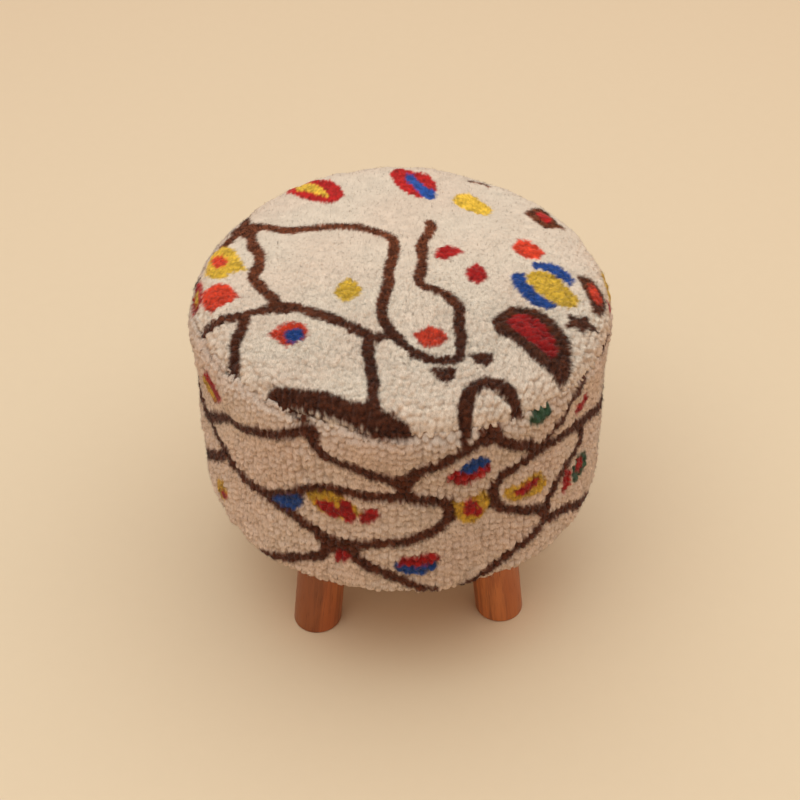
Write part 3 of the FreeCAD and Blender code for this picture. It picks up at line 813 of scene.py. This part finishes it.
def side_yarns(angles, runs, seed):
    """The yarn on the side band, from the angle round the stool and the run down the outline."""
    height = (shoulder_middle[1] + shoulder_end - runs) * 1000
    turned = (np.degrees(angles) + 180) % 360 - 180
    stretch = math.radians(1) * cover_radius * 1000
    panel = SHADED_CREAM_SIDE, side_lines, side_spots, stretch, seed
    found = yarn_of(np.stack([turned, height], -1), *panel)
    turned = turned + np.where(turned < 0, 360, -360)
    again = yarn_of(np.stack([turned, height], -1), *panel)
    return np.where(again == SHADED_CREAM_SIDE, found, again)


# The pile is thick and soft. Each tuft's yarn has opened into a rounded lump that touches its
# neighbours, with soft furrows between, and loose fibres lie over the lumps as a fuzz.
pile_relief = 0.0028
fibre_relief = 0.0004
rug_depth = 0.0155
seam_tilt = 0.0075
seam_dip, seam_dip_above = 0.0030, 0.0012
closing_dip = 0.003
lower_dip, lower_left_dip = 0.0036, 0.0016
crease_angle, crease_dip = math.radians(-147), 0.0016
shoulder_dips = [  # depth; angle from the rear and its width; run past the seam and its length
    (-0.0048, 0.12, 0.6, 0.0, 0.055),
    (0.0034, 1.15, 0.42, 0.0, 0.045),
    (0.0030, -math.pi / 2, 0.5, 0.02, 0.05),
]
tuft_edge, tuft_share = 22.0, 1.3


def seam_at(angle):
    """The seam's run on the outline: sewn a little high on the left and low on the right."""
    return seam_run + seam_tilt * np.cos(angle)


def hill(place, middle, width):
    """A smooth hill of height 1: with d the distance to its middle in widths, exp(-d^2)."""
    return np.exp(-(((place - middle) / width) ** 2))


def from_angle(angle, middle):
    """An angle counted from another, between half a turn back and half a turn on."""
    return (angle - middle + math.pi) % (2 * math.pi) - math.pi


def dents(angle, run):
    """How far the cover lies below its plain outline: drawn in at the shoulder seam, most at
    the front, at the rear closing seam, on the left and right shoulder and on the lower side,
    fuller at the rear of the shoulder, creased at the front left, and uneven."""
    radius, height, _ = outline(run, 0)
    plain = round_points(radius, angle, height)
    past = run - seam_at(angle)
    behind = from_angle(angle, math.pi / 2)
    pulled = np.clip(0.45 - 0.55 * np.sin(angle), 0.25, 1)
    seam = pulled * np.where(past < 0, seam_dip_above, seam_dip) * hill(past, 0, 0.008)
    closing = closing_dip * hill(behind * cover_radius, 0, 0.004) * (past > 0)
    shoulder = sum(depth * hill(behind, turned, width) * hill(past, down, length)
                   for depth, turned, width, down, length in shoulder_dips)
    share = np.clip((run - shoulder_end) / 0.055, 0, 1)
    low = (lower_dip + lower_left_dip * hill(behind, 1.9, 0.5)) * share ** 2 * (3 - 2 * share)
    crease = crease_dip * share * hill(from_angle(angle, crease_angle) * cover_radius, 0, 0.006)
    uneven = 0.0010 * drift(plain, 0.08, 11) + 0.0006 * drift(plain, 0.03, 12)
    return seam + closing + shoulder + low + crease + uneven


def cover_point(angle, run, depth):
    """Points of the cover from the angle round the stool, the run down its outline and the
    depth below its dented surface."""
    radius, height, _ = outline(run, depth + dents(angle, run))
    return round_points(radius, angle, height)


def lumps(across, along, cells, stagger, wander, seed):
    """Soft lumps round tuft middles on a lattice, each middle moved at random. With d the soft
    least distance to a middle in cells, a lump's height is exp(-(d^2 / 0.3)^1.6). Gives that
    height, and each place's own blend of its tufts' random numbers. Places are in cells."""
    draws = np.random.default_rng(seed)
    moved = draws.uniform(-wander, wander, (*cells, 2))
    shift = stagger * np.arange(cells[0]) + draws.uniform(0, 1, cells[0]) * (stagger == 0)
    own = draws.normal(0, 1, (*cells, 3))
    total, blend = 0, 0
    column = np.floor(across).astype(int)
    for beside in (-1, 0, 1):
        here = column + beside
        slid = shift[here % cells[0]]
        row = np.floor(along - slid).astype(int)
        for below in (-1, 0, 1):
            pick = (here % cells[0], (row + below) % cells[1])
            away = ((across - here - 0.5 - moved[*pick, 0]) ** 2
                    + (along - slid - row - below - 0.5 - moved[*pick, 1]) ** 2)
            weight = np.exp(-tuft_edge * away + tuft_share * own[*pick, 2])
            total, blend = total + weight, blend + weight[..., None] * own[*pick]
    soft = np.maximum(-np.log(total) / tuft_edge, 0)
    return np.exp(-((soft / 0.3) ** 1.6)), blend / total[..., None]


def wool_finish(name, along, laid):
    """Dyed wool: the yarn's own colour with warm painted shade in the furrows, where the rise
    attribute is low, mottled along fine fibres that lie one way and show less relief where the
    pile is laid over: from the first to the second of two places on the way back."""
    material, place = new_finish(name)
    yarn = place.node("ShaderNodeAttribute", {"attribute_name": "yarn"}, output="Color")
    rise = place.node("ShaderNodeAttribute", {"attribute_name": "rise"}, output="Fac")
    fibre = place.stretched(along).noise(1200.0, 3.0, 0.6, 0.3).between(0.3, 0.7)
    standing = 1 - place.axes()[1].between(*laid) * 0.75
    # Painted shade: where the rise is low the colour drops to 0.78, and its green and blue drop
    # further, so the shade is warm.
    shade = (0.78 + rise.between(0.0, 0.7) * 0.22) * (1 + (fibre - 0.5) * 0.32 * standing)
    warm = {"Red": shade, "Green": shade ** 1.12, "Blue": shade ** 1.25}
    colour = yarn.stretched(place.node("ShaderNodeCombineColor", None, warm))
    coat(place, colour, 0.9, fibre * standing, fibre_relief,
         Sheen_Weight=0.15, Sheen_Roughness=0.4, Specular_IOR_Level=0.15)
    return material


def tinted(yarn, own, points, lying, seed):
    """The colour of the wool at each place: the dye lot varies a little from tuft to tuft, the
    cream wool has warmer and pinker patches, and the brown is of mixed dark and light fibres.
    Painted
    light and shade lie over this: the band's cream is darker at its front, on the top brown and
    dyed yarn are lighter where the pile lies and darker where it stands, the cream a little the
    other way, and on the band brown and dyed yarn are kept about a quarter darker."""
    draws = np.random.default_rng(seed)
    plain, dark = (yarn == CREAM_TOP) | (yarn == SHADED_CREAM_SIDE), yarn == BROWN
    lot = np.where(plain, 0.035, 0.08) * own[:, 0]
    mottle = draws.normal(0, 1, len(yarn)) + 0.6 * drift(points, 0.006, 52)
    shade = 1 + lot + np.select([plain, dark], [0.04, 0.34], 0.3) * mottle
    angle = np.arctan2(points[:, 1], points[:, 0])
    # Painted shade: the band's cream is up to 11 percent darker about its front.
    front_shade = 1 - 0.11 * hill(angle, 0.15 - math.pi / 2, 0.6) * (yarn == SHADED_CREAM_SIDE)
    laid = np.clip(lying, 0, 1)
    # Painted light and shade by the lying share: the top's far share less 0.12, and nought on the
    # band.
    lit = np.select([plain, dark],
                    [1.02 - 0.08 * lying, 0.72 + 0.75 * lying + 0.8 * laid * (1 - laid)],
                    0.77 + 0.35 * lying)
    patch = np.clip(0.5 + 0.5 * drift(points, 0.09, 51), 0, 1) * plain
    pink = 1 - patch[:, None] * (0.0, 0.04, 0.05)
    return yarns[yarn] * pink * (shade.clip(0.4, 1.9) * front_shade * lit)[:, None]


def softened(colours, rows):
    """The colours on a grid of places with each mixed with its four neighbours, as the fibres
    of tufts that touch mingle."""
    grid = np.pad(colours.reshape(rows, -1, 3), ((1, 1), (1, 1), (0, 0)), mode="edge")
    beside = grid[:-2, 1:-1] + grid[2:, 1:-1] + grid[1:-1, :-2] + grid[1:-1, 2:]
    return (0.36 * grid[1:-1, 1:-1] + 0.16 * beside).reshape(-1, 3)


def attach(piece, colours, rises):
    """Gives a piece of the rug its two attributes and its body."""
    held = piece.data.attributes
    tint = np.ones((len(colours), 4), np.float32)
    tint[:, :3] = colours
    held.new("yarn", "FLOAT_COLOR", "POINT").data.foreach_set("color", tint.ravel())
    rises = np.asarray(rises, np.float32)
    held.new("rise", "FLOAT", "POINT").data.foreach_set("value", rises)
    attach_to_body(piece, "root")


fibre_length = 0.0030
fibre_thick = 0.00014
fibre_sunk = 0.0004
stool_middle = (0.0, 0.0, 0.25)


def fuzz(name, surface, places, lean, finish, seed):
    """Loose fibres as slim three-sided spikes: each starts just under the surface at its place,
    leans along the pile and strays at random. Their normals follow the surface, as light runs
    through such thin fibres. Each has its own square on the map for baking."""
    draws = np.random.default_rng(seed)
    count = len(places)
    root, _, colour = surface(places)
    step = 0.0006
    over, down = surface(places + (step, 0))[0] - root, surface(places + (0, step))[0] - root
    over /= np.linalg.norm(over, axis=1)[:, None]
    down /= np.linalg.norm(down, axis=1)[:, None]
    out = np.cross(over, down)
    out *= np.sign((out * (root - stool_middle)).sum(1))[:, None]
    out /= np.linalg.norm(out, axis=1)[:, None]
    stray = draws.normal(0, 1, (count, 3))
    way = over * (lean[:, :1] + 0.45 * stray[:, :1]) + down * (lean[:, 1:] + 0.45 * stray[:, 1:2])
    way = way + out * (0.42 + 0.28 * stray[:, 2:])
    way /= np.linalg.norm(way, axis=1)[:, None]
    across = np.cross(way, out)
    across /= np.maximum(np.linalg.norm(across, axis=1), 1e-6)[:, None]
    beside = np.cross(across, way)
    reach = fibre_length * draws.uniform(0.6, 1.3, (count, 1))
    angle = (np.arange(3) * 2 * math.pi / 3 - math.pi / 2)[None, :, None]
    ring = np.cos(angle) * across[:, None] + np.sin(angle) * beside[:, None]
    thick = fibre_thick * draws.uniform(0.75, 1.25, (count, 1, 1))
    corners = (root - out * fibre_sunk)[:, None] + ring * thick
    tip = (root + way * reach)[:, None]
    points = np.concatenate([corners, tip], 1).reshape(-1, 3)
    start = (np.arange(count) * 4)[:, None, None]
    faces = start + np.array([[0, 1, 3], [1, 2, 3], [2, 0, 3], [2, 1, 0]])
    piece = new_piece(name, points, [faces.reshape(-1, 3)], finish)
    squares = math.ceil(math.sqrt(count))
    square = np.arange(count)[:, None]
    corner = np.stack([square % squares, square // squares], -1) / squares
    strip = np.array([(0, 0), (0.25, 0), (0.12, 0.9), (0.25, 0), (0.5, 0), (0.37, 0.9),
                      (0.5, 0), (0.75, 0), (0.62, 0.9), (0.8, 0), (0.95, 0), (0.87, 0.3)])
    spread = corner + (strip + (0, 0.03)) * 0.95 / squares
    layer = piece.data.uv_layers.new(name="OFBake")
    layer.uv.foreach_set("vector", spread.astype(np.float32).ravel())
    soft = out[:, None] + 0.35 * np.concatenate([ring, way[:, None]], 1)
    soft /= np.linalg.norm(soft, axis=2)[..., None]
    piece.data.normals_split_custom_set_from_vertices(soft.reshape(-1, 3))
    colours = np.repeat(colour * draws.normal(1.02, 0.05, (count, 1)), 4, 0)
    # The fibres' rise of 0.6 gives them only a trace of the painted furrow shade.
    attach(piece, colours, np.tile((0.6, 0.6, 0.6, 1.0), count))


# The top panel of the rug: a round piece that follows the crown of the foam and turns over
# the shoulder to the seam. Its pile leans back on the far half, where the lumps lie flat, and
# stands up at the front.
tuft_top = 0.0068
top_grid = 300
top_rows_turned = np.array([(0.94, 0.34), (-0.34, 0.94)])
top_fibres = 120000
top_wool = wool_finish("top_wool", (1.0, 0.25, 1.0), (-0.12, 0.08))


def top_surface(places):
    """The pile's surface over a flat place on the round panel, in metres from its middle: the
    outline with the lumps' height, each place moved along the pile's lean by that height, and
    outwards over the seam at the rim."""
    draws = np.random.default_rng(30)
    far = np.clip(0.5 + places[:, 1] / 0.2, 0, 1)
    cells = int(2 * (seam_run + seam_tilt) / tuft_top) + 4
    cells = (cells, cells + cells % 2)
    across, along = (places @ top_rows_turned / tuft_top).T
    rise, own = lumps(across, along, cells, 0.5, 0.28, 31)
    uneven = np.clip(1 + 0.3 * drift(places, 0.07, 32), 0.5, 1.5)
    relief = pile_relief * (1.15 - 0.9 * far) * uneven * (1 + 0.2 * own[:, 1])
    strands = drift(places * (1, 0.28), 0.0024, 33)
    height = (rise - 0.5) * relief + fibre_relief * strands * (0.9 - 0.45 * far)
    lean = np.stack([0.1 + 0.15 * drift(places, 0.16, 34), (far - 0.25) * (1 - 0.8 * far)], -1)
    out = np.hypot(*places.T)
    rim = np.clip(1 + (out - seam_at(np.arctan2(places[:, 1], places[:, 0]))) / 0.01, 0, 1)[:, None]
    over = places / np.maximum(out, 0.001)[:, None] * 0.0045
    moved = places + (lean * 0.003 * (1 - rim) + over * rim) * rise[:, None]
    angle, run = np.arctan2(moved[:, 1], moved[:, 0]), np.hypot(*moved.T)
    points = cover_point(angle, np.minimum(run, seam_at(angle) + 0.005), -height)
    frayed = points + draws.normal(0, 1, points.shape) * (0.0007, 0.0012, 0)
    # How deep the painted furrow shade goes, given out as the rise attribute: less on the far half.
    seen = 1 - (1 - rise) * (0.75 - 0.6 * far)
    return points, seen, tinted(top_yarns(frayed, 41), own, points, far - 0.12, 50)


def concentric(size):
    """A square grid from -1 to 1 pressed onto a disc: squares about the middle become rings,
    and a point's share of the way along a side becomes its angle. Gives radius and angle."""
    side = np.linspace(-1, 1, size)
    x, y = np.meshgrid(side, side)
    wide = np.abs(x) > np.abs(y)
    radius = np.where(wide, x, y)
    big, small = np.where(wide, x, y), np.where(wide, y, x)
    ratio = small / np.where(big == 0, 1, big)
    angle = np.where(wide, math.pi / 4 * ratio, math.pi / 2 - math.pi / 4 * ratio)
    return radius, angle


def with_ground(piece, rise, colours, ground, hidden):
    """Gives a piece its attributes: the pile's, and the ground's plain yarn on hidden points."""
    ground_colours = np.tile(yarns[ground], (hidden, 1))
    attach(piece, np.concatenate([colours, ground_colours]), np.append(rise, np.zeros(hidden)))


radius, angle = concentric(top_grid)
flat = round_points(radius, angle, 0.0)[..., :2].reshape(-1, 2)
places = flat * seam_at(np.arctan2(flat[:, 1], flat[:, 0]))[:, None]
points, rise, colours = top_surface(places)
index = np.arange(top_grid ** 2).reshape(top_grid, top_grid)
sheet = np.stack([index[:-1, :-1], index[:-1, 1:], index[1:, 1:], index[1:, :-1]], -1)
rim = np.concatenate([index[0, :-1], index[:-1, -1], index[-1, :0:-1], index[:0:-1, 0]])
turned = np.arctan2(flat[rim, 1], flat[rim, 0])
edge_run = seam_at(turned)
under = np.stack([cover_point(turned, edge_run, 0.007), cover_point(turned, edge_run, rug_depth)]
                 + [cover_point(turned, turned * 0 + share * seam_run, rug_depth)
                    for share in (0.93, 0.82, 0.5, 0.1)])
lookup = np.concatenate([rim, len(points) + np.arange(len(under) * len(rim))])
walls = lookup[round_grid(len(under) + 1, len(rim))][:, ::-1]
bottom = lookup[-len(rim):][None, :]
points = np.concatenate([points, under.reshape(-1, 3)])
top_rug = new_piece("top_rug_pile", points, [sheet.reshape(-1, 4), walls, bottom], top_wool)
with_ground(top_rug, rise, softened(colours, top_grid), CREAM_TOP, len(lookup) - len(rim))
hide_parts("rug_top_panel")

draws = np.random.default_rng(60)
turn = draws.uniform(0, 2 * math.pi, top_fibres)
out = np.sqrt(draws.random(top_fibres)) * seam_run
spots = round_points(out, turn, 0.0)[:, :2]
kept = 0.3 - 0.24 * np.clip(0.5 + spots[:, 1] / 0.16, 0, 1)
thinned = (draws.random(top_fibres) < kept) | (top_yarns(cover_point(turn, out, 0), 41) == BROWN)
turn, spots = turn[thinned], spots[thinned]
lean = np.stack([turn * 0 + 0.1, np.clip(0.1 + spots[:, 1] / 0.22, -0.25, 0.75)], -1) * 0.9
for number, name in enumerate(("right", "back", "left", "front")):
    here = (np.degrees(turn) + 45) % 360 // 90 == number
    fuzz(f"top_fuzz_{name}", top_surface, spots[here], lean[here], top_wool, 61 + number)


# The side band of the rug: a long strip whose knots stand in upright lines, sewn to the top
# panel at the shoulder, closed by a seam behind, and turned under the base board. Its pile
# hangs downwards a little, so that each tuft lies over the one below.
tuft_wide = 0.0076
tuft_high = 0.0074
band_end = corner_end + 0.0435
pattern_drop = 0.0022
side_columns = 534
side_rows = 172
side_inner_rows = 14
side_fibres = 150000
side_wool = wool_finish("side_wool", (1.0, 1.0, 0.25), (1.0, 2.0))


def side_surface(places):
    """The pile's surface over a flat place on the band: the way round at the cover's radius
    and the run down the outline, both in metres."""
    draws = np.random.default_rng(36)
    angle, run = places[:, 0] / cover_radius, places[:, 1]
    columns = round(2 * math.pi * cover_radius / tuft_wide)
    across = angle / (2 * math.pi) * columns
    rise, own = lumps(across, run / tuft_high, (columns, 40), 0, 0.17, 32)
    uneven = np.clip(1 + 0.4 * drift(cover_point(angle, run, 0), 0.09, 37), 0.4, 1.5)
    under = np.clip((run - corner_end + 0.006) / 0.01, 0, 1)
    front = hill(np.sin(angle / 2 + math.pi / 4), 0, 0.5)
    relief = pile_relief * uneven * (1 + 0.2 * own[:, 1] + 0.4 * front) * (1 - 0.6 * under)
    strands = drift(places * (1, 0.4), 0.0024, 38)
    height = (rise - 0.5) * relief + fibre_relief * strands * (1 - under)
    edge = np.clip((run - seam_at(angle)) / 0.004, 0, 1) * np.clip((band_end - run) / 0.004, 0, 1)
    moved = run + 0.0028 * rise * edge
    round_way = angle + 0.0009 / cover_radius * own[:, 0] * rise
    points = cover_point(round_way, moved, 0.0035 * under - height)
    frayed = draws.normal(0, 1, places.shape) * (0.0007, 0.0012)
    frayed_way, frayed_run = round_way + frayed[:, 0] / cover_radius, moved + frayed[:, 1]
    yarn = side_yarns(frayed_way, frayed_run - pattern_drop, 42)
    return points, rise, tinted(yarn, own, points, angle * 0, 80)


def side_half(name, first, last):
    """Half of the band, closed: the pile outside and the ground inside as one loop of rows,
    with a flat face at each end."""
    turned = np.linspace(first, last, side_columns)
    top, length = seam_at(turned) + 0.0002, band_end - seam_at(turned)
    run = top + length * np.linspace(0, 1, side_rows)[:, None]
    places = np.stack([np.broadcast_to(turned * cover_radius, run.shape), run], -1)
    points, rise, colours = side_surface(places.reshape(-1, 2))
    back = top + length * np.linspace(1, 0, side_inner_rows)[:, None]
    radius, height, _ = outline(back, rug_depth)
    inner = round_points(radius, turned, height).reshape(-1, 3)
    index = np.arange(len(points) + len(inner)).reshape(-1, side_columns)
    below = np.roll(index, -1, axis=0)
    walls = np.stack([index[:, :-1], below[:, :-1], below[:, 1:], index[:, 1:]], -1)
    caps = np.stack([index[::-1, 0], index[:, -1]])
    faces = [walls.reshape(-1, 4), caps]
    piece = new_piece(name, np.concatenate([points, inner]), faces, side_wool)
    with_ground(piece, rise, softened(colours, side_rows), SHADED_CREAM_SIDE, len(inner))
    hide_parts("rug_side_band")


side_half("side_rug_front", -math.pi, 0.0)
side_half("side_rug_back", 0.0, math.pi)

draws = np.random.default_rng(90)
turn = draws.uniform(0, 2 * math.pi, side_fibres)
down = seam_at(turn) + 0.001 + draws.random(side_fibres) * (corner_end + 0.004 - seam_at(turn))
brown_there = side_yarns(turn, down - pattern_drop, 42) == BROWN
thinned = (draws.random(side_fibres) < 0.3) | brown_there
turn, down = turn[thinned], down[thinned]
spots = np.stack([turn * cover_radius, down], -1)
lean = np.stack([turn * 0, turn * 0 + 0.7], -1)
sixths = ("right", "back_right", "back_left", "left", "front_left", "front_right")
for number, name in enumerate(sixths):
    here = (np.degrees(turn) + 30) % 360 // 60 == number
    fuzz(f"side_fuzz_{name}", side_surface, spots[here], lean[here], side_wool, 91 + number)


# The dust cover is thin black non-woven cloth, cut round, snipped out round the legs and
# stapled under the base over the rug's turned edge.
dust_cloth_colour = (38, 37, 38)
dust_cloth_pale_colour = (62, 60, 60)
dimple_pace = 2600.0

dust_cloth, place = new_finish("dust_cloth")
x, y, _ = place.axes()
dimples = (x * dimple_pace).maths("SINE") * (y * dimple_pace).maths("SINE")
threads = place.noise(1200.0, 4.0, 0.7)
colour = (threads.between(0.4, 0.7) * 0.6 + dimples.between(0.4, 0.9) * 0.3).mix(
    dye(*dust_cloth_colour), dye(*dust_cloth_pale_colour))
coat(place, colour, 0.9, dimples * 0.5 + threads, 0.0002)
give(dust_cloth, "dust_cover")

low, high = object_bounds()
